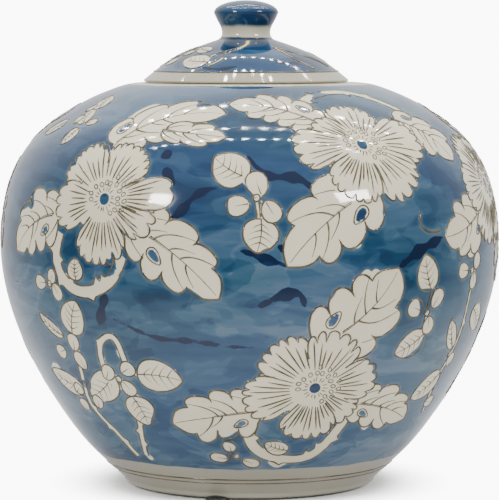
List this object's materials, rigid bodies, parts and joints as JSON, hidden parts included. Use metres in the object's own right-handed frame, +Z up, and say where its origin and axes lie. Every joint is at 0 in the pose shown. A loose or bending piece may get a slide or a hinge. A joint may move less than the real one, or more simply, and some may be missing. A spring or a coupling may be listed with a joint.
{
  "type": "ginger jar",
  "caption": "Round-shouldered porcelain jar painted blue with white blossoms, with a domed lift-off lid and a button knob.",
  "frame": {"origin": "on the jar's axis, at the level of the surface the pads rest on", "axes": "+Z up along the jar's axis, -Y towards the viewer's side, +X to the viewer's right"},
  "size_m": [0.293, 0.293, 0.2842],
  "materials": {
    "painted_porcelain": "glossy clear glaze over underglaze blue wash, with ivory motifs outlined in brown",
    "painted_lid_porcelain": "glossy clear glaze over underglaze blue wash, ivory band at the rim",
    "black_rubber": "matte black"
  },
  "bodies": {
    "jar": {"jar_body": "painted_porcelain", "foot_pad_front": "black_rubber", "foot_pad_right": "black_rubber", "foot_pad_back": "black_rubber"},
    "lid": {"lid": "painted_lid_porcelain"}
  },
  "joints": [
    {"name": "lid_lift", "type": "slide", "parent": "jar", "child": "lid", "axis": [0, 0, 1], "range_m": [0, 0.08]}
  ]
}
